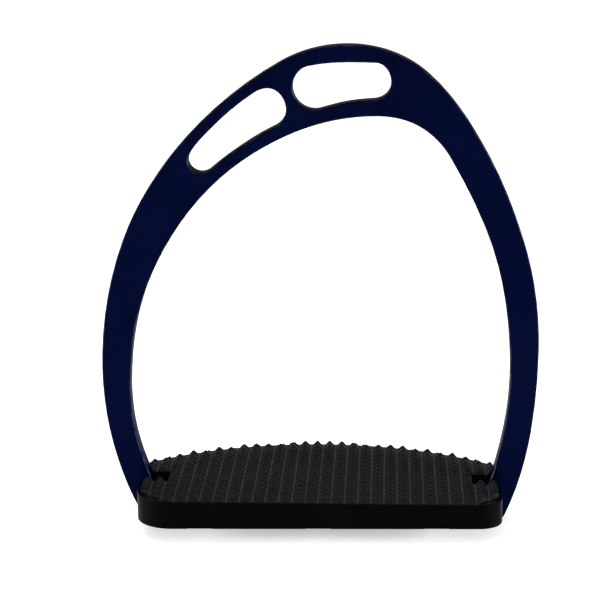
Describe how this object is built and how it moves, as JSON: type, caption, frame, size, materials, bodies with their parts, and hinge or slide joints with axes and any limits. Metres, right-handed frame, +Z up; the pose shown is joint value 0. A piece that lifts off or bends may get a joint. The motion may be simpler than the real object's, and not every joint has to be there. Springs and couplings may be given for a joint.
{
  "type": "stirrup iron",
  "caption": "Asymmetric plate stirrup iron with leather slots along the top of its bow and a wide tread covered in square pyramid teeth.",
  "frame": {"origin": "middle of the foot bar's underside, on the mid-plane of the plate, where the stirrup stands", "axes": "+X to the right along the tread, +Y to the back of the tread, away from its straight front edge, +Z up towards the leather slots"},
  "size_m": [0.1503, 0.068, 0.1661],
  "materials": {
    "anodised_plate": "satin, anodised dark navy",
    "moulded_body": "fine moulded grain, black",
    "moulded_grip": "fine moulded grain, charcoal black",
    "screw_steel": "bright stainless steel",
    "insert_brass": "turned brass"
  },
  "bodies": {
    "root": {"frame": "anodised_plate", "tread_body": "moulded_body", "grip_plate": "moulded_grip", "bar_screw_1": "screw_steel", "bar_screw_2": "screw_steel", "bar_screw_3": "screw_steel", "bar_screw_4": "screw_steel", "bar_insert_1": "insert_brass", "bar_insert_2": "insert_brass", "bar_insert_3": "insert_brass", "bar_insert_4": "insert_brass", "grip_screw_1": "screw_steel", "grip_screw_2": "screw_steel", "grip_screw_3": "screw_steel", "grip_screw_4": "screw_steel", "grip_screw_5": "screw_steel", "grip_screw_6": "screw_steel"}
  },
  "joints": []
}
